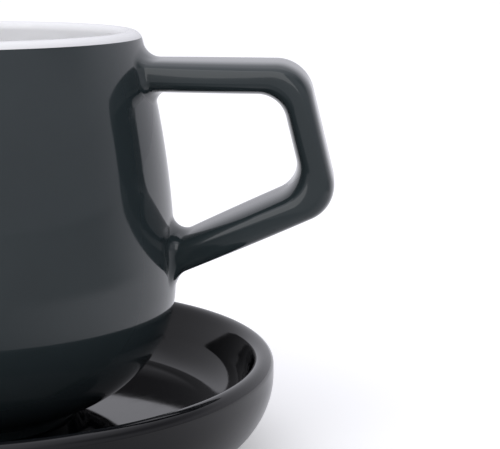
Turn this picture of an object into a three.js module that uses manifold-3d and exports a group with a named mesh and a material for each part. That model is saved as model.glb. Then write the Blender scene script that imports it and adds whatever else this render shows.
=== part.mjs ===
// A glazed ceramic mug with an angular loop handle, standing on its own deep saucer.
// Millimetres, +Z up. The table is z = 0 and the origin is under the middle of the object's box.
import * as THREE from "three";
import { mergeVertices } from "three/addons/utils/BufferGeometryUtils.js";
import Module from "manifold-3d";

// Saucer sizes
const saucerRadius = 65.8;
const saucerHeight = 22;
const saucerRimThickness = 4.3;
const saucerRimBand = 2; // upright stretch under the rounded rim
const saucerSideTurn = 15.2; // how far the outside turns in under the rim
const saucerInnerTurn = 8.5; // radius of the inside's turn to the flat floor
const saucerInnerTilt = 72; // steepness of the inside under the rim, in degrees
const saucerFloorThickness = 4.8;
const saucerUnderside = 2.6; // height of the underside outside the foot ring
const saucerRecess = 4.2; // height of the underside inside the foot ring
const saucerFootRadius = 47;
const saucerFootWidth = 4;

// Cup body sizes, with heights measured from the cup's foot
const cupHeight = 80;
const lipRadius = 39; // where the wall runs into the lip's rounding
const lipOuterRound = 2.3;
const lipInnerRound = 1.5;
const lipLean = 14.3; // how far the wall leans in under the lip, in degrees
const bellyRadius = 45.4;
const bellyLevel = 28;
const wallThickness = 3.7;
const bowlTurn = 25.7; // how far the bowl turns in below the belly
const cupUnderside = 2.3; // height of the underside inside the foot ring
const cupFloorThickness = 4;
const cupFootRadius = 26;
const cupFootWidth = 3.4;

// Handle sizes: two bends, and three bars between them and the wall
const handleDrop = 8.65; // lip to the middle of the top bar
const topBarFall = 0.3; // from the wall to the upper bend
const gripDrop = 23.3; // from the upper bend to the lower one
const lowerBarFall = 13.5; // from the lower bend to the wall
const upperReach = 24.3; // belly to the upper bend
const lowerReach = 30; // belly to the lower bend
const topBarThickness = 6.5;
const gripThickness = 6.5;
const lowerBarThickness = 7;
const handleWidth = 23; // at the grip
const topRootWidth = 18.5; // where the top bar meets the wall
const lowerRootWidth = 13; // where the lower bar meets the wall
const sectionPower = 3.2; // 2 would make the section an ellipse, more makes it squarer
const upperBendOutside = 7.8;
const upperBendInside = 5.9;
const lowerBendOutside = 7.1;
const lowerBendInside = 6.4;
const rootFilletTop = 3.6; // where the top bar's upper face runs into the wall
const rootFilletUnder = 3.3; // where the top bar's under face runs into the wall
const rootFilletOver = 4.9; // where the lower bar's upper face runs into the wall
const rootFilletBottom = 4.2; // where the lower bar's under face runs into the wall
const rootFilletSide = 1.8; // where the bars' sides run into the wall
const luteGap = 0.3; // thickness of the slip joint between handle and wall

// Fineness of the round stretches
const turnSegments = 64;
const arcSteps = 7;
const lipSteps = 6;
const rimSteps = 9;
const wallSteps = 9;
const bendSteps = 7;
const barSteps = 4;
const sectionSteps = 24;

const wasm = await Module();
wasm.setup();

const saucerFloor = saucerRecess + saucerFloorThickness;
const lipLevel = cupHeight - lipOuterRound * (1 - Math.sin(THREE.MathUtils.degToRad(lipLean)));

const clearGlaze = { roughness: 0.12, metalness: 0 };
const slateGlaze = new THREE.MeshStandardMaterial({ color: 0x3b4143, ...clearGlaze });
const handleGlaze = new THREE.MeshStandardMaterial({ color: 0x3b4143, ...clearGlaze });
const charcoalGlaze = new THREE.MeshStandardMaterial({ color: 0x25262a, ...clearGlaze });

// Points of a quarter ellipse from angle a0 to a1 (degrees), in the plane of radius and height
function quarter(centreR, centreZ, runR, runZ, a0, a1, steps) {
  const curve = new THREE.EllipseCurve(
    centreR, centreZ, runR, runZ, THREE.MathUtils.degToRad(a0), THREE.MathUtils.degToRad(a1), a1 < a0,
  );
  return curve.getPoints(steps);
}

function point(r, z) {
  return new THREE.Vector2(r, z);
}

// Turns a profile about the Z axis; the profile runs anticlockwise from axis to axis
function turned(profile) {
  const geometry = new THREE.LatheGeometry(profile, turnSegments);
  geometry.rotateX(Math.PI / 2);
  return geometry;
}

// Radius of the cup's outside at a height above its foot: a parabola above the belly, an ellipse below it
function wallRadius(z) {
  if (z >= bellyLevel) {
    const share = (z - bellyLevel) / (lipLevel - bellyLevel);
    return bellyRadius + (lipRadius - bellyRadius) * share * share;
  }
  const down = Math.min((bellyLevel - z) / (bellyLevel - cupUnderside), 1);
  return bellyRadius - bowlTurn + bowlTurn * Math.sqrt(1 - down * down);
}

// Height of the bowl's outside where it meets the foot ring
function bowlHeight(r) {
  const share = Math.max((r - bellyRadius + bowlTurn) / bowlTurn, 0);
  return bellyLevel - (bellyLevel - cupUnderside) * Math.sqrt(1 - share * share);
}

// The outside from foot ring to lip, moved out by a gap
function outerWall(gap) {
  const bowlCentre = bellyRadius - bowlTurn;
  const bowlDepth = bellyLevel - cupUnderside;
  const footTop = bowlHeight(cupFootRadius);
  const start = -THREE.MathUtils.radToDeg(Math.asin((bellyLevel - footTop) / bowlDepth));
  const points = quarter(bowlCentre, bellyLevel, bowlTurn + gap, bowlDepth + gap, start, 0, arcSteps);
  for (let step = 1; step <= wallSteps; step += 1) {
    const z = bellyLevel + ((lipLevel - bellyLevel) * step) / wallSteps;
    points.push(point(wallRadius(z) + gap, z));
  }
  return points;
}

// An arc of the lip, without its first point
function lipArc(apex, radius, a0, a1) {
  return quarter(apex, cupHeight - radius, radius, radius, a0, a1, lipSteps).slice(1);
}

function cupBody() {
  const apex = lipRadius - lipOuterRound * Math.cos(THREE.MathUtils.degToRad(lipLean));
  const insideFloor = cupUnderside + cupFloorThickness;
  const insideRun = bowlTurn - wallThickness;
  const insideBelly = bellyRadius - wallThickness;
  const insideDepth = bellyLevel - insideFloor;
  const profile = [
    point(0, cupUnderside),
    point(cupFootRadius - cupFootWidth, cupUnderside),
    point(cupFootRadius - cupFootWidth, 0),
    point(cupFootRadius, 0),
    ...outerWall(0),
    ...lipArc(apex, lipOuterRound, lipLean, 90),
    ...lipArc(apex, lipInnerRound, 90, 180 + lipLean),
  ];
  const insideTop = profile[profile.length - 1];
  for (let step = wallSteps - 1; step > 0; step -= 1) {
    const share = step / wallSteps;
    const z = bellyLevel + (insideTop.y - bellyLevel) * share;
    profile.push(point(insideBelly + (insideTop.x - insideBelly) * share * share, z));
  }
  profile.push(...quarter(insideBelly - insideRun, bellyLevel, insideRun, insideDepth, 0, -90, arcSteps));
  profile.push(point(0, insideFloor));
  return turned(profile);
}

function saucer() {
  const rimHalf = saucerRimThickness / 2;
  const rimCentre = saucerRadius - rimHalf;
  const rimLevel = saucerHeight - rimHalf;
  const turnLevel = rimLevel - saucerRimBand;
  const outerCentre = saucerRadius - saucerSideTurn;
  const outerDepth = turnLevel - saucerUnderside;
  const tilt = THREE.MathUtils.degToRad(saucerInnerTilt);
  const slopeTop = point(rimCentre - rimHalf * Math.sin(tilt), rimLevel + rimHalf * Math.cos(tilt));
  const slopeFoot = saucerFloor + saucerInnerTurn * (1 - Math.cos(tilt));
  const slopeRun = (slopeTop.y - slopeFoot) / Math.tan(tilt);
  const innerCentre = slopeTop.x - slopeRun - saucerInnerTurn * Math.sin(tilt);
  const turn = saucerInnerTurn;
  const profile = [
    point(0, saucerRecess),
    point(saucerFootRadius - saucerFootWidth, saucerRecess),
    point(saucerFootRadius - saucerFootWidth, 0),
    point(saucerFootRadius, 0),
    point(saucerFootRadius, saucerUnderside),
    ...quarter(outerCentre, turnLevel, saucerSideTurn, outerDepth, -90, 0, arcSteps),
    ...quarter(rimCentre, rimLevel, rimHalf, rimHalf, 0, 90 + saucerInnerTilt, rimSteps),
    ...quarter(innerCentre, saucerFloor + turn, turn, turn, saucerInnerTilt - 90, -90, arcSteps),
    point(0, saucerFloor),
  ];
  return turned(profile);
}

// Where two lines meet, each given by a point and a direction
function meeting(p, u, q, v) {
  const cross = u.x * v.y - u.y * v.x;
  const along = ((q.x - p.x) * v.y - (q.y - p.y) * v.x) / cross;
  return p.clone().addScaledVector(u, along);
}

// A bar's middle line, moved to one side by half its thickness
function barEdge(from, to, offset) {
  const along = to.clone().sub(from).normalize();
  const across = point(-along.y, along.x);
  return { start: from.clone().addScaledVector(across, offset), along };
}

// The wall's line close to a height: it meets the wall there and leans as the wall does
function wallLine(z) {
  const reach = 1;
  const low = point(wallRadius(z - reach), z - reach);
  const high = point(wallRadius(z + reach), z + reach);
  return { start: low, along: high.sub(low).normalize() };
}

// An arc that rounds the corner b between a and c
function roundedCorner(a, b, c, radius) {
  const back = a.clone().sub(b).normalize();
  const onward = c.clone().sub(b).normalize();
  const half = Math.acos(THREE.MathUtils.clamp(back.dot(onward), -1, 1)) / 2;
  const centre = b.clone().addScaledVector(back.clone().add(onward).normalize(), radius / Math.sin(half));
  const from = b.clone().addScaledVector(back, radius / Math.tan(half)).sub(centre);
  const to = b.clone().addScaledVector(onward, radius / Math.tan(half)).sub(centre);
  const sweep = Math.atan2(from.cross(to), from.dot(to));
  const points = [];
  for (let step = 0; step <= bendSteps; step += 1) {
    points.push(from.clone().rotateAround(point(0, 0), (sweep * step) / bendSteps).add(centre));
  }
  return points;
}

// One outline of the handle, from wall to wall: side is 1 for the outer one and -1 for the inner one
function handleOutline(side, filletAtTop, upperBend, lowerBend, filletAtBottom) {
  const topLevel = cupHeight - handleDrop;
  const upperLevel = topLevel - topBarFall;
  const lowerLevel = upperLevel - gripDrop;
  const rootLevel = lowerLevel - lowerBarFall;
  const topRoot = point(wallRadius(topLevel), topLevel);
  const upper = point(bellyRadius + upperReach, upperLevel);
  const lower = point(bellyRadius + lowerReach, lowerLevel);
  const lowerRoot = point(wallRadius(rootLevel), rootLevel);
  const top = barEdge(topRoot, upper, (side * topBarThickness) / 2);
  const grip = barEdge(upper, lower, (side * gripThickness) / 2);
  const bottom = barEdge(lower, lowerRoot, (side * lowerBarThickness) / 2);
  const topWall = wallLine(topLevel + (side * topBarThickness) / 2);
  const lowerWall = wallLine(rootLevel - (side * lowerBarThickness) / 2);
  const corners = [
    meeting(topWall.start, topWall.along, top.start, top.along),
    meeting(top.start, top.along, grip.start, grip.along),
    meeting(grip.start, grip.along, bottom.start, bottom.along),
    meeting(bottom.start, bottom.along, lowerWall.start, lowerWall.along),
  ];
  const begin = corners[0].clone().addScaledVector(topWall.along, side);
  const end = corners[3].clone().addScaledVector(lowerWall.along, -side);
  const topFillet = roundedCorner(begin, corners[0], corners[1], filletAtTop);
  const upperArc = roundedCorner(corners[0], corners[1], corners[2], upperBend);
  const lowerArc = roundedCorner(corners[1], corners[2], corners[3], lowerBend);
  const lowerFillet = roundedCorner(corners[2], corners[3], end, filletAtBottom);
  return [
    ...topFillet,
    ...between(topFillet, upperArc),
    ...upperArc,
    ...lowerArc,
    ...between(lowerArc, lowerFillet),
    ...lowerFillet,
  ];
}

// Points of the straight stretch from the end of one arc to the start of the next, without those two
function between(arc, nextArc) {
  const points = [];
  for (let step = 1; step < barSteps; step += 1) {
    points.push(arc[arc.length - 1].clone().lerp(nextArc[0], step / barSteps));
  }
  return points;
}

function softened(value) {
  return Math.sign(value) * Math.abs(value) ** (2 / sectionPower);
}

// A softly squared oval: x across the bar's thickness, y along its width
function handleSection(halfThickness, halfWidth) {
  const points = [];
  for (let step = 0; step < sectionSteps; step += 1) {
    const angle = (2 * Math.PI * step) / sectionSteps;
    points.push(point(halfThickness * softened(Math.cos(angle)), halfWidth * softened(Math.sin(angle))));
  }
  return points;
}

// A bar's width at a distance from the cup's axis: it widens from its root to its bend
function widthAt(distance, rootWidth) {
  const run = upperReach - upperBendOutside;
  const share = THREE.MathUtils.clamp((distance - bellyRadius) / run, 0, 1);
  return handleWidth - (handleWidth - rootWidth) * (1 - share) ** 2;
}

// How far a fillet of the root stands out at one step of its arc, from 1 at the wall to 0 at the bar
function filletShare(step) {
  return 1 - Math.sin((Math.PI / 2) * (step / bendSteps));
}

// The handle before it is cut to the wall: rings between the two outlines, wider where they meet the wall
function handleBlank() {
  const outer = handleOutline(1, rootFilletTop, upperBendOutside, lowerBendOutside, rootFilletBottom);
  const inner = handleOutline(-1, rootFilletUnder, upperBendInside, lowerBendInside, rootFilletOver);
  const last = outer.length - 1;
  const vertices = [];
  const triangles = [];
  const ringSize = sectionSteps;
  const sink = wallThickness / 2; // the blank starts inside the wall, and the cut takes that off
  for (let ring = -1; ring <= last + 1; ring += 1) {
    const index = THREE.MathUtils.clamp(ring, 0, last);
    const share = filletShare(Math.min(index, last - index, bendSteps));
    const middle = outer[index].clone().add(inner[index]).multiplyScalar(0.5);
    const across = outer[index].clone().sub(inner[index]).multiplyScalar(0.5);
    const halfThickness = across.length();
    across.normalize();
    const rootWidth = index < last / 2 ? topRootWidth : lowerRootWidth;
    const halfWidth = widthAt(middle.x, rootWidth) / 2 + rootFilletSide * share;
    for (const { x: t, y: w } of handleSection(halfThickness, halfWidth)) {
      const wrap = (middle.x - Math.sqrt(middle.x * middle.x - w * w)) * share;
      const inward = wrap + (ring === index ? 0 : sink);
      vertices.push(middle.x + across.x * t - inward, w, middle.y + across.y * t);
    }
  }
  const rings = last + 3;
  for (let ring = 0; ring + 1 < rings; ring += 1) {
    for (let side = 0; side < ringSize; side += 1) {
      const a = ring * ringSize + side;
      const b = ring * ringSize + ((side + 1) % ringSize);
      triangles.push(a, a + ringSize, b, b, a + ringSize, b + ringSize);
    }
  }
  const endRing = (rings - 1) * ringSize;
  for (let side = 1; side + 1 < ringSize; side += 1) {
    triangles.push(0, side, side + 1);
    triangles.push(endRing, endRing + side + 1, endRing + side);
  }
  const geometry = new THREE.BufferGeometry();
  geometry.setAttribute("position", new THREE.Float32BufferAttribute(vertices, 3));
  geometry.setIndex(triangles);
  return geometry;
}

// The space inside the cup's outside, wider by the lute gap, which shapes the handle's roots
function wallCutter() {
  const wall = outerWall(luteGap);
  const low = wall[0];
  const high = wall[wall.length - 1];
  const top = cupHeight + rootFilletTop;
  return turned([point(0, low.y), ...wall, point(high.x, top), point(0, top)]);
}

function solidOf(geometry) {
  const bare = geometry.clone();
  bare.deleteAttribute("normal");
  bare.deleteAttribute("uv");
  const merged = mergeVertices(bare);
  const corners = Array.from(merged.index.array);
  const triangles = [];
  for (let i = 0; i < corners.length; i += 3) {
    const [a, b, c] = corners.slice(i, i + 3);
    if (a !== b && b !== c && c !== a) {
      triangles.push(a, b, c);
    }
  }
  const mesh = new wasm.Mesh({
    numProp: 3,
    vertProperties: new Float32Array(merged.attributes.position.array),
    triVerts: new Uint32Array(triangles),
  });
  return new wasm.Manifold(mesh);
}

function geometryOf(solid) {
  const mesh = solid.getMesh();
  const geometry = new THREE.BufferGeometry();
  geometry.setAttribute("position", new THREE.Float32BufferAttribute(mesh.vertProperties, 3));
  geometry.setIndex(Array.from(mesh.triVerts));
  geometry.computeVertexNormals();
  return geometry;
}

function cupHandle() {
  return geometryOf(solidOf(handleBlank()).subtract(solidOf(wallCutter())));
}

function named(name, geometry, material) {
  const mesh = new THREE.Mesh(geometry, material);
  mesh.name = name;
  return mesh;
}

const cup = new THREE.Group();
cup.add(named("cup_body", cupBody(), slateGlaze));
const handle = named("cup_handle", cupHandle(), handleGlaze);
cup.add(handle);
cup.position.z = saucerFloor;

const mugWithSaucer = new THREE.Group();
mugWithSaucer.add(named("saucer", saucer(), charcoalGlaze));
mugWithSaucer.add(cup);

// The handle overhangs the saucer, so the middle of the box lies off the cup's axis
handle.geometry.computeBoundingBox();
mugWithSaucer.position.x = (saucerRadius - handle.geometry.boundingBox.max.x) / 2;

export default mugWithSaucer;
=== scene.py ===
"""A glazed ceramic mug on its saucer: fine surfaces, glazes, floor, light and camera.

Metres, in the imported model's frame: +X along the handle, +Z up, the table at z = 0.
"""
import math

import bpy
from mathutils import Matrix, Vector


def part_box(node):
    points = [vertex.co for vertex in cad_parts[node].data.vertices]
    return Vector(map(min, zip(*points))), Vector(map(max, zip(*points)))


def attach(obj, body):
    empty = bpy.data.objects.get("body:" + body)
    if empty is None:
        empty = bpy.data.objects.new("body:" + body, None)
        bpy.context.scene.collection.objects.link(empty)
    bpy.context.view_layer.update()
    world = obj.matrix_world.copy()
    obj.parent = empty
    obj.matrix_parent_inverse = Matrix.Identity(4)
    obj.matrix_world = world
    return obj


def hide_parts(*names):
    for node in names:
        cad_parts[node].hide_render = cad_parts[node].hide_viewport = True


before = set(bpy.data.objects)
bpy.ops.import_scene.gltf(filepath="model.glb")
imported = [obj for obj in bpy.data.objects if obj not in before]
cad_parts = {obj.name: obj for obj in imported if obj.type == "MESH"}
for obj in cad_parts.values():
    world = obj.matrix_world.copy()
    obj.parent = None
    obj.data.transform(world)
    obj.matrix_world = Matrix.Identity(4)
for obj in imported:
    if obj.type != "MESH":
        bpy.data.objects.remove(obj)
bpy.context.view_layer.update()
MM = 0.001

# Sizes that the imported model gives
saucer_low, saucer_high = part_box("saucer")
cup_low, cup_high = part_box("cup_body")
AXIS_X = (saucer_low.x + saucer_high.x) / 2
SAUCER_RADIUS = (saucer_high.x - saucer_low.x) / 2
SAUCER_HEIGHT = saucer_high.z
CUP_FOOT = cup_low.z
CUP_HEIGHT = cup_high.z - cup_low.z
BELLY_RADIUS = (cup_high.x - cup_low.x) / 2

# Saucer sizes; the tilt is that of the inside's slope, in degrees
SAUCER_RIM = 4.3 * MM
SAUCER_RIM_BAND = 2.0 * MM
SAUCER_SIDE_TURN = 15.2 * MM
SAUCER_INNER_TURN = 8.5 * MM
SAUCER_INNER_TILT = 72.0
SAUCER_UNDERSIDE = 2.6 * MM
SAUCER_RECESS = 4.2 * MM
SAUCER_FOOT_RADIUS = 47.0 * MM
SAUCER_FOOT_WIDTH = 4.0 * MM

# Cup sizes. Heights are from the cup's foot and the lip's lean is in degrees. The white glaze comes down
# from the top to the glaze line
LIP_RADIUS = 39.0 * MM
LIP_OUTER_ROUND = 2.3 * MM
LIP_INNER_ROUND = 1.5 * MM
LIP_LEAN = 14.3
LIP_LEVEL = CUP_HEIGHT - LIP_OUTER_ROUND * (1 - math.sin(math.radians(LIP_LEAN)))
GLAZE_LINE = 1.36 * MM
BELLY_LEVEL = 28.0 * MM
WALL_THICKNESS = 3.7 * MM
BOWL_TURN = 25.7 * MM
CUP_UNDERSIDE = 2.3 * MM
CUP_FLOOR = 4.0 * MM
CUP_FOOT_RADIUS = 26.0 * MM
CUP_FOOT_WIDTH = 4.0 * MM
CUP_FOOT_TAPER = 1.9 * MM
FOOT_EDGE = 0.7 * MM
FOOT_FILLET = 1.0 * MM

# Handle sizes
HANDLE_DROP = 8.65 * MM
TOP_BAR_FALL = 0.3 * MM
GRIP_DROP = 23.3 * MM
LOWER_BAR_FALL = 13.5 * MM
UPPER_REACH = 24.3 * MM
LOWER_REACH = 30.0 * MM
TOP_BAR_THICKNESS = 6.5 * MM
GRIP_THICKNESS = 6.5 * MM
LOWER_BAR_THICKNESS = 7.0 * MM
HANDLE_WIDTH = 23.0 * MM
TOP_ROOT_WIDTH = 18.5 * MM
LOWER_ROOT_WIDTH = 13.0 * MM
SECTION_POWER_INSIDE = 3.2
SECTION_POWER_OUTSIDE = 4.2
UPPER_BEND_OUTSIDE = 7.8 * MM
UPPER_BEND_INSIDE = 5.9 * MM
LOWER_BEND_OUTSIDE = 7.1 * MM
LOWER_BEND_INSIDE = 6.4 * MM
ROOT_FILLET_TOP = 3.6 * MM
ROOT_FILLET_UNDER = 3.3 * MM
ROOT_FILLET_OVER = 4.9 * MM
ROOT_FILLET_BOTTOM = 4.2 * MM
ROOT_FILLET_SIDE = 1.8 * MM

# Beyond its fillet the handle's skin runs on along the wall and dips into it, first a little and then deep
ROOT_SKIRT = 0.6 * MM
ROOT_SKIRT_SINK = 0.05 * MM
ROOT_END_SINK = 1.2 * MM

# Fineness of the surfaces, in steps
TURN_SEGMENTS = 256
WALL_STEPS = 60
ARC_STEPS = 40
EDGE_STEPS = 6
FOOT_FLAT_STEPS = 4
CUP_FLAT_STEPS = 8
SAUCER_UNDER_STEPS = 12
SAUCER_SLOPE_STEPS = 10
SAUCER_FLOOR_STEPS = 16
SECTION_STEPS = 112
BEND_STEPS = 18
BAR_STEPS = 12
FILLET_STEPS = 16

# Small numbers of the working: a radius that counts as the axis, the span over which the wall's slope is
# measured, and the rounds and least approach of a point that slides to the wall
ON_AXIS = 0.0001 * MM
SLOPE_SPAN = 0.2 * MM
SLIDE_ROUNDS = 6
LEAST_APPROACH = 0.2

# Glazes
SLATE = {"colour": (0.025, 0.034, 0.037), "roughness": 0.07, "mottle": 0.06, "ior": 1.53}
CHARCOAL = {"colour": (0.0025, 0.0026, 0.0036), "roughness": 0.06, "mottle": 0.08, "ior": 1.43}
WHITE = {"colour": (0.91, 0.91, 0.91), "roughness": 0.1, "mottle": 0.01, "ior": 1.5}
MOTTLE_STOPS = (0.3, 0.7)
GLOSS_STOPS = (0.35, 0.65)
GLOSS_SPREAD = (0.8, 1.25)
RIPPLE_STRENGTH = 0.3
RIPPLE_DEPTH = 0.02 * MM

# Bare clay
CLAY_DARK = (0.33, 0.30, 0.26)
CLAY_LIGHT = (0.52, 0.48, 0.43)
CLAY_STOPS = (0.3, 0.55)
CLAY_ROUGHNESS = 0.85
CLAY_STRENGTH = 0.6
CLAY_DEPTH = 0.1 * MM

# Noise of the glazes and the clay: cells per metre, and detail
MOTTLE_GRAIN = (70.0, 4.0)
GLOSS_GRAIN = (420.0, 3.0)
RIPPLE_GRAIN = (160.0, 2.0)
CLAY_GRAIN = (2600.0, 5.0)

# Camera, measured from the cup's axis, with angles in radians
CAMERA_DISTANCE = 334.7 * MM
CAMERA_HEIGHT = 108.3 * MM
CAMERA_PITCH = 0.1777
CAMERA_YAW = 0.1828
CAMERA_LENS = 116.6
CAMERA_SENSOR = 36.0
CAMERA_NEAR = 10.0 * MM
HANDLE_BEARING = math.radians(12.8)

# Studio. Azimuths in degrees run to the right from the camera's direction, seen from the cup. A pair named
# turn, spread or heights gives where a soft step starts and ends
STUDIO_FRONT = 0.53
STUDIO_BACK = 0.7
STUDIO_AZIMUTH = 150.0
STUDIO_TURN = (0.2, 0.8)
STUDIO_RISE = 0.08
RISE_HEIGHTS = (0.0, 0.3)
STUDIO_TOP = 0.55
TOP_HEIGHTS = (0.6, 0.95)
STUDIO_TINT = (0.98, 0.98, 1.055)
SHADE_AZIMUTH = 80.0
SHADE_ELEVATION = 48.0
SHADE_SPREAD = (0.8, 0.97)
SHADE_DEPTH = -0.3
CAMERA_WHITE = 1.0

# Main lamp
SOFTBOX_AZIMUTH = -30.0
SOFTBOX_ELEVATION = 31.0
SOFTBOX_DISTANCE = 2.6
SOFTBOX_SIZE = 3.0
SOFTBOX_POWER = 30.0

# Floor. Painted shade: to the glaze and the light the floor is grey, darkest at the front left near the
# saucer inside a round edge, and on the table beyond it grey in front and white behind
FLOOR_REACH = 3.0
FLOOR_ROUGHNESS = 0.9
FLOOR_PALE = 0.9
FLOOR_LIFT = 0.27
NEAR_SHADE_AZIMUTH = 120.0
NEAR_SHADE_TURN = (-1.0, 0.7)
NEAR_SHADE_GREYS = (0.04, 0.92)
NEAR_SHADE_EDGE = (0.24, 0.29)
FAR_SHADE_GREYS = (0.48, 0.92)


def bearing(azimuth, elevation):
    """The direction from the cup to a place in the studio."""
    turn = HANDLE_BEARING + math.radians(azimuth)
    rise = math.radians(elevation)
    return (math.sin(turn) * math.cos(rise), -math.cos(turn) * math.cos(rise), math.sin(rise))


def arc(centre_r, centre_z, run_r, run_z, start, end, steps):
    """Points of an ellipse's arc in the plane of radius and height; angles in degrees."""
    points = []
    for step in range(steps + 1):
        angle = math.radians(start + (end - start) * step / steps)
        points.append((centre_r + run_r * math.cos(angle), centre_z + run_z * math.sin(angle)))
    return points


def straight(a, b, steps):
    """Points from a to b, both included."""
    return [(a[0] + (b[0] - a[0]) * k / steps, a[1] + (b[1] - a[1]) * k / steps) for k in range(steps + 1)]


def fillet(begin, corner, end, steps):
    """Points of the curve from begin to end that leaves towards the corner and arrives from it."""
    points = []
    for step in range(steps + 1):
        t = step / steps
        shares = ((begin, (1 - t) ** 2), (corner, 2 * t * (1 - t)), (end, t * t))
        points.append(tuple(sum(point[axis] * share for point, share in shares) for axis in (0, 1)))
    return points


def new_mesh(name, vertices, faces, face_slots, materials):
    """A smooth-shaded mesh object whose faces take the listed materials."""
    mesh = bpy.data.meshes.new(name)
    mesh.from_pydata(vertices, [], faces)
    for material in materials:
        mesh.materials.append(material)
    mesh.polygons.foreach_set("material_index", face_slots)
    mesh.shade_smooth()
    mesh.update()
    piece = bpy.data.objects.new(name, mesh)
    bpy.context.scene.collection.objects.link(piece)
    return piece


def turned(name, stretches, base_z, materials):
    """Turns a profile about the cup's axis.

    Stretches are pairs of a material's number and points. Each starts where the last one ended.
    """
    profile = [stretches[0][1][0]]
    slots = []
    for slot, points in stretches:
        for point in points[1:]:
            profile.append(point)
            slots.append(slot)
    vertices = []
    rings = []
    for radius, height in profile:
        start = len(vertices)
        if radius < ON_AXIS:
            vertices.append((AXIS_X, 0.0, base_z + height))
            rings.append([start] * TURN_SEGMENTS)
            continue
        for k in range(TURN_SEGMENTS):
            angle = 2 * math.pi * k / TURN_SEGMENTS
            vertices.append((AXIS_X + radius * math.cos(angle), radius * math.sin(angle), base_z + height))
        rings.append(list(range(start, start + TURN_SEGMENTS)))
    faces = []
    face_slots = []
    for index, slot in enumerate(slots):
        low, high = rings[index], rings[index + 1]
        for k in range(TURN_SEGMENTS):
            after = (k + 1) % TURN_SEGMENTS
            corners = [low[k], low[after], high[after], high[k]]
            corners = [c for i, c in enumerate(corners) if c not in corners[:i]]
            faces.append(corners)
            face_slots.append(slot)
    return new_mesh(name, vertices, faces, face_slots, materials)


def wall_radius(z):
    """Radius of the cup's outside at a height above its foot."""
    if z >= BELLY_LEVEL:
        share = (z - BELLY_LEVEL) / (LIP_LEVEL - BELLY_LEVEL)
        return BELLY_RADIUS + (LIP_RADIUS - BELLY_RADIUS) * share * share
    down = min((BELLY_LEVEL - z) / (BELLY_LEVEL - CUP_UNDERSIDE), 1.0)
    return BELLY_RADIUS - BOWL_TURN + BOWL_TURN * math.sqrt(1 - down * down)


def underside(recess, foot_in, steps):
    """A section from the underside's middle to the inner end of the foot ring's flat."""
    edge = FOOT_EDGE
    points = straight((0.0, recess), (foot_in - edge, recess), steps)
    points += arc(foot_in - edge, recess - edge, edge, edge, 90, 0, EDGE_STEPS)[1:]
    points += arc(foot_in + edge, edge, edge, edge, 180, 270, EDGE_STEPS)
    return points


def cup_inside(top):
    """The cup's section from its point under the lip down to the middle of the inside floor."""
    floor_level = CUP_UNDERSIDE + CUP_FLOOR
    belly = BELLY_RADIUS - WALL_THICKNESS
    turn = BOWL_TURN - WALL_THICKNESS
    points = []
    for step in range(WALL_STEPS - 1, 0, -1):
        share = step / WALL_STEPS
        z = BELLY_LEVEL + (top[1] - BELLY_LEVEL) * share
        points.append((belly + (top[0] - belly) * share * share, z))
    points += arc(belly - turn, BELLY_LEVEL, turn, BELLY_LEVEL - floor_level, 0, -90, ARC_STEPS)
    points += straight(points[-1], (0.0, floor_level), CUP_FLAT_STEPS)[1:]
    return points


def cup_profile():
    """The cup's section in four stretches: underside, bare foot, outside, and lip with inside."""
    edge = FOOT_EDGE
    under = underside(CUP_UNDERSIDE, CUP_FOOT_RADIUS - CUP_FOOT_WIDTH, CUP_FLAT_STEPS)

    bowl_centre = BELLY_RADIUS - BOWL_TURN
    bowl_depth = BELLY_LEVEL - CUP_UNDERSIDE
    meet = math.acos((CUP_FOOT_RADIUS + FOOT_FILLET - bowl_centre) / BOWL_TURN)
    bowl = arc(bowl_centre, BELLY_LEVEL, BOWL_TURN, bowl_depth, -math.degrees(meet), 0, ARC_STEPS)
    slope = bowl_depth / (BOWL_TURN * math.tan(meet))
    corner = (CUP_FOOT_RADIUS, bowl[0][1] - FOOT_FILLET * slope)
    taper = math.atan(CUP_FOOT_TAPER / corner[1])
    begin = (corner[0] - FOOT_FILLET * math.sin(taper), corner[1] - FOOT_FILLET * math.cos(taper))
    flat_end = CUP_FOOT_RADIUS - CUP_FOOT_TAPER - edge / math.tan((math.pi / 2 + taper) / 2)
    clay = straight(under[-1], (flat_end, 0.0), FOOT_FLAT_STEPS)
    outside = arc(flat_end, edge, edge, edge, 270, 360 - math.degrees(taper), EDGE_STEPS)
    outside += fillet(begin, corner, bowl[0], EDGE_STEPS)
    outside += bowl[1:]
    for step in range(1, WALL_STEPS + 1):
        z = BELLY_LEVEL + (LIP_LEVEL - BELLY_LEVEL) * step / WALL_STEPS
        outside.append((wall_radius(z), z))

    apex_r = LIP_RADIUS - LIP_OUTER_ROUND * math.cos(math.radians(LIP_LEAN))
    outer, inner = LIP_OUTER_ROUND, LIP_INNER_ROUND
    line = math.degrees(math.asin((outer - GLAZE_LINE) / outer))
    outside += arc(apex_r, CUP_HEIGHT - outer, outer, outer, LIP_LEAN, line, EDGE_STEPS)[1:]
    lip = arc(apex_r, CUP_HEIGHT - outer, outer, outer, line, 90, 2 * EDGE_STEPS)
    lip += arc(apex_r, CUP_HEIGHT - inner, inner, inner, 90, 180 + LIP_LEAN, 2 * EDGE_STEPS)[1:]
    return under, clay, outside, lip + cup_inside(lip[-1])


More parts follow.
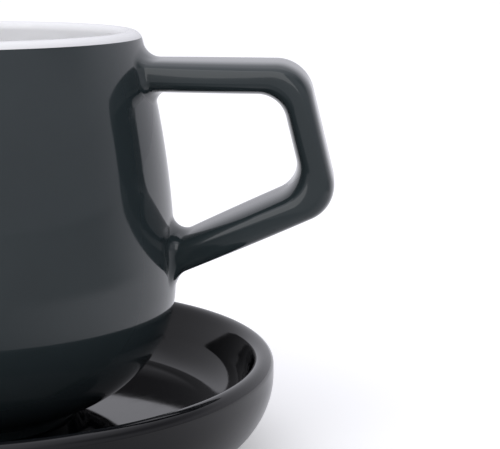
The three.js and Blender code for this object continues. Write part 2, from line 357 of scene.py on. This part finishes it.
def saucer_profile():
    """The saucer's section in three stretches: underside, bare foot, and all the rest."""
    edge = FOOT_EDGE
    under = underside(SAUCER_RECESS, SAUCER_FOOT_RADIUS - SAUCER_FOOT_WIDTH, SAUCER_UNDER_STEPS)
    clay = straight(under[-1], (SAUCER_FOOT_RADIUS - edge, 0.0), FOOT_FLAT_STEPS)

    half = SAUCER_RIM / 2
    rim_level = SAUCER_HEIGHT - half
    turn_level = rim_level - SAUCER_RIM_BAND
    side_centre = SAUCER_RADIUS - SAUCER_SIDE_TURN
    side_depth = turn_level - SAUCER_UNDERSIDE
    outside = arc(SAUCER_FOOT_RADIUS - edge, edge, edge, edge, 270, 360, EDGE_STEPS)
    outside += arc(SAUCER_FOOT_RADIUS + edge, SAUCER_UNDERSIDE - edge, edge, edge, 180, 90, EDGE_STEPS)
    outside += arc(side_centre, turn_level, SAUCER_SIDE_TURN, side_depth, -90, 0, ARC_STEPS)
    outside += arc(SAUCER_RADIUS - half, rim_level, half, half, 0, 90 + SAUCER_INNER_TILT, 4 * EDGE_STEPS)

    floor_level = CUP_FOOT
    turn = SAUCER_INNER_TURN
    tilt = math.radians(SAUCER_INNER_TILT)
    slope_r = SAUCER_RADIUS - half - half * math.sin(tilt)
    slope_z = rim_level + half * math.cos(tilt)
    foot_z = floor_level + turn * (1 - math.cos(tilt))
    foot_r = slope_r - (slope_z - foot_z) / math.tan(tilt)
    inner_centre = foot_r - turn * math.sin(tilt)
    outside += straight(outside[-1], (foot_r, foot_z), SAUCER_SLOPE_STEPS)[1:]
    outside += arc(inner_centre, floor_level + turn, turn, turn, SAUCER_INNER_TILT - 90, -90, ARC_STEPS)[1:]
    outside += straight(outside[-1], (0.0, floor_level), SAUCER_FLOOR_STEPS)[1:]
    return under, clay, outside


def meeting(p, u, q, v):
    """Where the line through p along u meets the line through q along v."""
    cross = u.x * v.y - u.y * v.x
    along = ((q.x - p.x) * v.y - (q.y - p.y) * v.x) / cross
    return p + u * along


def angle_between(a, b):
    """The angle between two unit vectors."""
    return math.acos(max(-1.0, min(1.0, a.dot(b))))


def rounded_corner(a, b, c, radius):
    """Points of the arc that rounds the corner b between a and c."""
    back = (a - b).normalized()
    onward = (c - b).normalized()
    half = angle_between(back, onward) / 2
    centre = b + (back + onward).normalized() * (radius / math.sin(half))
    start = b + back * (radius / math.tan(half)) - centre
    end = b + onward * (radius / math.tan(half)) - centre
    sweep = math.atan2(start.x * end.y - start.y * end.x, start.dot(end))
    points = []
    for step in range(BEND_STEPS + 1):
        angle = sweep * step / BEND_STEPS
        turn_x = start.x * math.cos(angle) - start.y * math.sin(angle)
        turn_y = start.x * math.sin(angle) + start.y * math.cos(angle)
        points.append(centre + Vector((turn_x, turn_y)))
    return points


def handle_lines():
    """The roots and bends of the handle's middle line, in the plane of radius and height."""
    top_level = CUP_HEIGHT - HANDLE_DROP
    upper_level = top_level - TOP_BAR_FALL
    lower_level = upper_level - GRIP_DROP
    root_level = lower_level - LOWER_BAR_FALL
    return [
        Vector((wall_radius(top_level), top_level)),
        Vector((BELLY_RADIUS + UPPER_REACH, upper_level)),
        Vector((BELLY_RADIUS + LOWER_REACH, lower_level)),
        Vector((wall_radius(root_level), root_level)),
    ]


def handle_outline(side, upper_bend, lower_bend):
    """One outline between the roots: side is 1 for the outer one and -1 for the inner one."""
    spots = handle_lines()
    halves = [TOP_BAR_THICKNESS / 2, GRIP_THICKNESS / 2, LOWER_BAR_THICKNESS / 2]
    starts = []
    alongs = []
    for index, half in enumerate(halves):
        along = (spots[index + 1] - spots[index]).normalized()
        across = Vector((-along.y, along.x))
        starts.append(spots[index] + across * (side * half))
        alongs.append(along)
    upper = meeting(starts[0], alongs[0], starts[1], alongs[1])
    lower = meeting(starts[1], alongs[1], starts[2], alongs[2])
    end = starts[2] + alongs[2] * (spots[3] - spots[2]).length
    first = rounded_corner(starts[0], upper, lower, upper_bend)
    second = rounded_corner(upper, lower, end, lower_bend)
    grip = [first[-1].lerp(second[0], k / BAR_STEPS) for k in range(1, BAR_STEPS)]
    return first + grip + second


def section_point(step, half_thickness, half_width):
    """A point of the bar's rounded section: across its thickness and along its width."""
    angle = 2 * math.pi * step / SECTION_STEPS
    power = 2 / (SECTION_POWER_OUTSIDE if math.cos(angle) > 0 else SECTION_POWER_INSIDE)
    across = math.copysign(abs(math.cos(angle)) ** power, math.cos(angle)) * half_thickness
    along = math.copysign(abs(math.sin(angle)) ** power, math.sin(angle)) * half_width
    return across, along


def on_wall(point):
    """The point moved level onto the cup's outside."""
    scale = wall_radius(point.z) / math.hypot(point.x, point.y)
    return Vector((point.x * scale, point.y * scale, point.z))


def slid_to_wall(point, direction):
    """The point moved along a direction until it meets the cup's outside."""
    for _ in range(SLIDE_ROUNDS):
        gap = math.hypot(point.x, point.y) - wall_radius(point.z)
        point = point + direction * (gap / max(-direction.x, LEAST_APPROACH))
    return point


def wall_normal(point):
    """The outward direction of the cup's outside at a point on it."""
    slope = (wall_radius(point.z + SLOPE_SPAN) - wall_radius(point.z - SLOPE_SPAN)) / (2 * SLOPE_SPAN)
    radius = math.hypot(point.x, point.y)
    return Vector((point.x / radius, point.y / radius, -slope)).normalized()


def root_curve(begin, corner, end, direction):
    """Points of the round curve from the bar to the wall; the bar comes to the corner along a direction."""
    pull = math.cos(angle_between(direction, (end - corner).normalized()) / 2)
    points = []
    for step in range(FILLET_STEPS + 1):
        s = step / FILLET_STEPS
        weight = 2 * pull * s * (1 - s)
        total = (1 - s) ** 2 + weight + s * s
        points.append((begin * (1 - s) ** 2 + corner * weight + end * (s * s)) / total)
    return points


def root_rings(spot, along, outer, half_thickness, width, reaches, length):
    """Rings from the bar's end to the wall, flaring into it as a fillet.

    along points to the wall and outer to the handle's outside. width is the root's. reaches are the
    fillet's on the handle's outside and inside. length is the bar's, over which it widens.
    """
    flare = (HANDLE_WIDTH - width) / length
    across = Vector((outer.x, 0.0, outer.y))
    middle = Vector((spot.x, 0.0, spot.y))
    strands = []
    for step in range(SECTION_STEPS):
        t, w = section_point(step, half_thickness, width / 2)
        share_t = t / half_thickness
        share_w = w / (width / 2)
        direction = Vector((along.x, -flare * share_w, along.y)).normalized()
        corner = slid_to_wall(middle + across * t + Vector((0.0, w, 0.0)), direction)
        normal = wall_normal(corner)
        outward = corner - middle
        outward -= normal * outward.dot(normal)
        outward.normalize()
        reach_t = reaches[0] if t > 0 else reaches[1]
        weight = share_t ** 2 / (share_t ** 2 + share_w ** 2)
        reach = reach_t * weight + ROOT_FILLET_SIDE * (1 - weight)
        end = on_wall(corner + outward * reach)
        strand = root_curve(corner - direction * reach, corner, end, direction)
        beyond = on_wall(end + outward * ROOT_SKIRT)
        inward = -wall_normal(beyond)
        strand.append(beyond + inward * ROOT_SKIRT_SINK)
        strand.append(beyond + inward * ROOT_END_SINK)
        strands.append(strand)
    return [list(ring) for ring in zip(*strands)]


def bend_rings():
    """The handle's rings from the start of the upper bend to the end of the lower one."""
    outer = handle_outline(1, UPPER_BEND_OUTSIDE, LOWER_BEND_OUTSIDE)
    inner = handle_outline(-1, UPPER_BEND_INSIDE, LOWER_BEND_INSIDE)
    rings = []
    for a, b in zip(outer, inner):
        middle = (a + b) / 2
        across = (a - b) / 2
        ring = []
        for step in range(SECTION_STEPS):
            t, w = section_point(step, across.length, HANDLE_WIDTH / 2)
            spot = middle + across.normalized() * t
            ring.append(Vector((spot.x, w, spot.y)))
        rings.append(ring)
    return rings


def bar_rings(root, bend):
    """Rings of a bar between its root and its bend; it widens fast at first and then slowly."""
    rings = []
    for k in range(1, BAR_STEPS):
        share = k / BAR_STEPS
        ring = []
        for a, b in zip(root, bend):
            point = a.lerp(b, share)
            point.y = a.y + (b.y - a.y) * (1 - (1 - share) ** 2)
            ring.append(point)
        rings.append(ring)
    return rings


def handle_rings():
    """All rings of the handle from the upper root to the lower one, in the cup's own frame."""
    spots = handle_lines()
    bends = bend_rings()
    top_along = (spots[0] - spots[1]).normalized()
    low_along = (spots[3] - spots[2]).normalized()
    top_outer = Vector((top_along.y, -top_along.x))
    low_outer = Vector((-low_along.y, low_along.x))
    top_half = TOP_BAR_THICKNESS / 2
    low_half = LOWER_BAR_THICKNESS / 2
    top_run = (spots[0] - spots[1]).length - UPPER_BEND_OUTSIDE
    low_run = (spots[3] - spots[2]).length - LOWER_BEND_OUTSIDE
    top_reaches = (ROOT_FILLET_TOP, ROOT_FILLET_UNDER)
    low_reaches = (ROOT_FILLET_BOTTOM, ROOT_FILLET_OVER)
    top = root_rings(spots[0], top_along, top_outer, top_half, TOP_ROOT_WIDTH, top_reaches, top_run)
    low = root_rings(spots[3], low_along, low_outer, low_half, LOWER_ROOT_WIDTH, low_reaches, low_run)
    rings = list(reversed(top))
    rings += bar_rings(top[0], bends[0])
    rings += bends
    rings += reversed(bar_rings(low[0], bends[-1]))
    rings += low
    return rings


def loft(name, rings, material):
    """A closed skin over rings of equal size, with its ends shut."""
    size = len(rings[0])
    vertices = [point + Vector((AXIS_X, 0.0, CUP_FOOT)) for ring in rings for point in ring]
    faces = []
    for ring in range(len(rings) - 1):
        for step in range(size):
            a = ring * size + step
            b = ring * size + (step + 1) % size
            faces.append([a, a + size, b + size, b])
    faces.append(list(range(size)))
    faces.append(list(reversed(range((len(rings) - 1) * size, len(rings) * size))))
    return new_mesh(name, vertices, faces, [0] * len(faces), [material])


def node(tree, kind, x, y, **sockets):
    """A shader node with some of its sockets set."""
    made = tree.nodes.new(kind)
    made.location = (x, y)
    for key, value in sockets.items():
        made.inputs[key].default_value = value
    return made


def noise(tree, grain, x, y):
    """Noise in the piece's own space; grain is cells per metre and detail."""
    place = node(tree, "ShaderNodeTexCoord", x - 200, y)
    made = node(tree, "ShaderNodeTexNoise", x, y, Scale=grain[0], Detail=grain[1])
    tree.links.new(place.outputs["Object"], made.inputs["Vector"])
    return made.outputs["Fac"]


def ramp(tree, source, x, y, stops, colours):
    """A colour that goes from the first to the second between two stops of a source."""
    made = node(tree, "ShaderNodeValToRGB", x, y)
    for element, stop, colour in zip(made.color_ramp.elements, stops, colours):
        element.position = stop
        element.color = (*colour, 1.0)
    tree.links.new(source, made.inputs["Fac"])
    return made.outputs["Color"]


def bumped(tree, source, main, strength, depth):
    """Gives the main shader a fine relief that follows a source."""
    bump = node(tree, "ShaderNodeBump", -600, -300, Strength=strength, Distance=depth)
    tree.links.new(source, bump.inputs["Height"])
    tree.links.new(bump.outputs["Normal"], main.inputs["Normal"])


def ranged(tree, source, x, y, limits, levels, kind="SMOOTHSTEP"):
    """A step between two levels: the first below the first limit, the second above the second one."""
    made = node(tree, "ShaderNodeMapRange", x, y)
    made.interpolation_type = kind
    made.inputs["From Min"].default_value = limits[0]
    made.inputs["From Max"].default_value = limits[1]
    made.inputs["To Min"].default_value = levels[0]
    made.inputs["To Max"].default_value = levels[1]
    tree.links.new(source, made.inputs["Value"])
    return made.outputs["Result"]


def added(tree, a, b, x, y):
    """The sum of two values."""
    made = node(tree, "ShaderNodeMath", x, y)
    tree.links.new(a, made.inputs[0])
    tree.links.new(b, made.inputs[1])
    return made.outputs[0]


def scaled(tree, source, factor, x, y):
    """A value times a fixed factor."""
    made = node(tree, "ShaderNodeMath", x, y)
    made.operation = "MULTIPLY"
    made.inputs[1].default_value = factor
    tree.links.new(source, made.inputs[0])
    return made.outputs[0]


def mixed(tree, factor, a, x, y):
    """A mix that goes with a factor from the value a to its own socket B."""
    made = node(tree, "ShaderNodeMix", x, y)
    tree.links.new(factor, made.inputs["Factor"])
    tree.links.new(a, made.inputs["A"])
    return made


def vector_math(tree, operation, source, x, y):
    """A vector node that works on a source."""
    made = node(tree, "ShaderNodeVectorMath", x, y)
    made.operation = operation
    tree.links.new(source, made.inputs[0])
    return made


def lean(tree, source, direction, x, y):
    """How far a vector points to a direction: 1 straight to it, 0 across it, -1 away from it."""
    made = vector_math(tree, "DOT_PRODUCT", source, x, y)
    made.inputs[1].default_value = direction
    return made.outputs["Value"]


def shader(name):
    """A new node material, with its tree and its main shader."""
    material = bpy.data.materials.new(name)
    material.use_nodes = True
    tree = material.node_tree
    return material, tree, tree.nodes["Principled BSDF"]


def tinted(colour, factor):
    """A colour times a factor."""
    return tuple(channel * factor for channel in colour)


def glaze(name, colour, roughness, mottle, ior):
    """A glossy fired glaze: faint mottling, an uneven gloss and the soft ripple of a poured coat."""
    material, tree, main = shader(name)
    clouds = noise(tree, MOTTLE_GRAIN, -900, 300)
    shades = (tinted(colour, 1 - mottle), tinted(colour, 1 + mottle))
    tree.links.new(ramp(tree, clouds, -600, 300, MOTTLE_STOPS, shades), main.inputs["Base Color"])
    gloss = noise(tree, GLOSS_GRAIN, -900, 0)
    shines = [(roughness * factor,) * 3 for factor in GLOSS_SPREAD]
    tree.links.new(ramp(tree, gloss, -600, 0, GLOSS_STOPS, shines), main.inputs["Roughness"])
    bumped(tree, noise(tree, RIPPLE_GRAIN, -900, -300), main, RIPPLE_STRENGTH, RIPPLE_DEPTH)
    main.inputs["IOR"].default_value = ior
    return material


def bare_clay():
    """The unglazed body that shows on the foot rings: matt and fine-grained."""
    material, tree, main = shader("bare_clay")
    grain = noise(tree, CLAY_GRAIN, -900, 300)
    tint = ramp(tree, grain, -600, 300, CLAY_STOPS, (CLAY_DARK, CLAY_LIGHT))
    tree.links.new(tint, main.inputs["Base Color"])
    bumped(tree, grain, main, CLAY_STRENGTH, CLAY_DEPTH)
    main.inputs["Roughness"].default_value = CLAY_ROUGHNESS
    return material


def add_camera():
    """The photograph's camera: it stands in front of the axis and looks a little to the right of it."""
    data = bpy.data.cameras.new("camera")
    data.lens = CAMERA_LENS
    data.sensor_width = CAMERA_SENSOR
    data.sensor_fit = "HORIZONTAL"
    data.clip_start = CAMERA_NEAR
    camera = bpy.data.objects.new("camera", data)
    bpy.context.scene.collection.objects.link(camera)
    x = AXIS_X + CAMERA_DISTANCE * math.sin(HANDLE_BEARING)
    y = -CAMERA_DISTANCE * math.cos(HANDLE_BEARING)
    camera.location = (x, y, CAMERA_HEIGHT)
    camera.rotation_euler = (math.pi / 2 - CAMERA_PITCH, 0.0, HANDLE_BEARING - CAMERA_YAW)
    bpy.context.scene.camera = camera


def painted_floor_shade(tree, position):
    """The floor's painted shade for the glaze and the light: darkest at the front left near the saucer, and
    on the table beyond it grey in front and white behind.
    """
    away = vector_math(tree, "SUBTRACT", position, -1300, 0)
    away.inputs[1].default_value = (AXIS_X, 0.0, 0.0)
    unit = vector_math(tree, "NORMALIZE", away.outputs["Vector"], -1100, 0).outputs["Vector"]
    # Painted shade near the saucer, darkest at the front left, and painted shade on the table beyond, grey
    # in front
    aside = lean(tree, unit, bearing(NEAR_SHADE_AZIMUTH, 0.0), -900, 0)
    near_shade = ranged(tree, aside, -700, 0, NEAR_SHADE_TURN, NEAR_SHADE_GREYS, "LINEAR")
    behind = lean(tree, unit, bearing(STUDIO_AZIMUTH, 0.0), -900, 300)
    table = ranged(tree, behind, -700, 300, STUDIO_TURN, FAR_SHADE_GREYS)
    span = vector_math(tree, "LENGTH", away.outputs["Vector"], -1100, 300).outputs["Value"]
    far = ranged(tree, span, -700, 600, NEAR_SHADE_EDGE, (0.0, 1.0))
    grey = mixed(tree, far, near_shade, -500, 300)
    tree.links.new(table, grey.inputs["B"])
    return grey.outputs["Result"]


def add_floor():
    """A floor that is pale to the camera and painted grey as shade to the glaze and the light, keeps the
    object's shadow and is clear from below.
    """
    material, tree, main = shader("pale_floor")
    main.inputs["Roughness"].default_value = FLOOR_ROUGHNESS
    main.inputs["Specular IOR Level"].default_value = 0.0
    main.inputs["Emission Color"].default_value = (1.0, 1.0, 1.0, 1.0)
    spot = node(tree, "ShaderNodeNewGeometry", -1500, 0)
    to_camera = node(tree, "ShaderNodeLightPath", -700, -300).outputs["Is Camera Ray"]
    # Painted shade: the glaze and the light see the floor grey, while the camera sees it pale
    pale = mixed(tree, to_camera, painted_floor_shade(tree, spot.outputs["Position"]), -300, 0)
    pale.inputs["B"].default_value = FLOOR_PALE
    tree.links.new(pale.outputs["Result"], main.inputs["Base Color"])
    tree.links.new(scaled(tree, to_camera, FLOOR_LIFT, -450, -300), main.inputs["Emission Strength"])
    clear = node(tree, "ShaderNodeBsdfTransparent", 300, -300)
    one_sided = node(tree, "ShaderNodeMixShader", 500, 0)
    tree.links.new(spot.outputs["Backfacing"], one_sided.inputs["Fac"])
    tree.links.new(main.outputs["BSDF"], one_sided.inputs[1])
    tree.links.new(clear.outputs["BSDF"], one_sided.inputs[2])
    tree.links.new(one_sided.outputs["Shader"], tree.nodes["Material Output"].inputs["Surface"])
    reach = FLOOR_REACH
    corners = [(-reach, -reach, 0), (reach, -reach, 0), (reach, reach, 0), (-reach, reach, 0)]
    floor = new_mesh("floor", corners, [[0, 1, 2, 3]], [0], [material])


def add_world():
    """A soft studio: white to the camera and grey round the glaze.

    It is lighter behind and above, and darker high on the right.
    """
    world = bpy.data.worlds.new("studio")
    bpy.context.scene.world = world
    world.use_nodes = True
    tree = world.node_tree
    back = tree.nodes["Background"]
    place = node(tree, "ShaderNodeTexCoord", -1300, 0).outputs["Generated"]
    split = node(tree, "ShaderNodeSeparateXYZ", -1100, 0)
    tree.links.new(place, split.inputs["Vector"])
    low = ranged(tree, split.outputs["Z"], -900, 200, RISE_HEIGHTS, (0.0, STUDIO_RISE))
    high = ranged(tree, split.outputs["Z"], -900, 0, TOP_HEIGHTS, (0.0, STUDIO_TOP))
    behind = lean(tree, place, bearing(STUDIO_AZIMUTH, 0.0), -1100, -250)
    level = ranged(tree, behind, -900, -250, STUDIO_TURN, (STUDIO_FRONT, STUDIO_BACK))
    aside = lean(tree, place, bearing(SHADE_AZIMUTH, SHADE_ELEVATION), -1100, -500)
    shade = ranged(tree, aside, -900, -500, SHADE_SPREAD, (0.0, SHADE_DEPTH))
    total = added(tree, added(tree, low, high, -700, 100), added(tree, level, shade, -700, -300), -500, 0)
    to_camera = node(tree, "ShaderNodeLightPath", -500, -300).outputs["Is Camera Ray"]
    seen = mixed(tree, to_camera, total, -300, 0)
    seen.inputs["B"].default_value = CAMERA_WHITE
    tree.links.new(seen.outputs["Result"], back.inputs["Strength"])
    tint = ramp(tree, to_camera, -300, -300, (0.0, 1.0), (STUDIO_TINT, (1.0, 1.0, 1.0)))
    tree.links.new(tint, back.inputs["Color"])


def add_softbox():
    """The main lamp: a broad soft square above the front left."""
    data = bpy.data.lights.new("softbox", "AREA")
    data.size = SOFTBOX_SIZE
    data.energy = SOFTBOX_POWER
    lamp = bpy.data.objects.new("softbox", data)
    bpy.context.scene.collection.objects.link(lamp)
    direction = Vector(bearing(SOFTBOX_AZIMUTH, SOFTBOX_ELEVATION))
    lamp.location = Vector((AXIS_X, 0.0, 0.0)) + direction * SOFTBOX_DISTANCE
    lamp.rotation_euler = (-direction).to_track_quat("-Z", "Y").to_euler()


def main():
    """Builds the three pieces, each in place of its solid, and the studio round them."""
    scene = bpy.context.scene
    scene.view_settings.view_transform = "Standard"
    slate = glaze("slate_glaze", **SLATE)
    charcoal = glaze("charcoal_glaze", **CHARCOAL)
    white = glaze("white_glaze", **WHITE)
    clay = bare_clay()

    under, foot, outside, lip = cup_profile()
    stretches = [(0, under), (1, foot), (0, outside), (2, lip)]
    cup = turned("cup_shell", stretches, CUP_FOOT, [slate, clay, white])
    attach(cup, "cup")
    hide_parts("cup_body")

    handle = loft("handle_loop", handle_rings(), slate)
    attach(handle, "cup")
    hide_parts("cup_handle")

    under, foot, outside = saucer_profile()
    stretches = [(0, under), (1, foot), (0, outside)]
    dish = turned("saucer_dish", stretches, 0.0, [charcoal, clay])
    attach(dish, "saucer")
    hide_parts("saucer")

    add_floor()
    add_world()
    add_softbox()
    add_camera()


main()
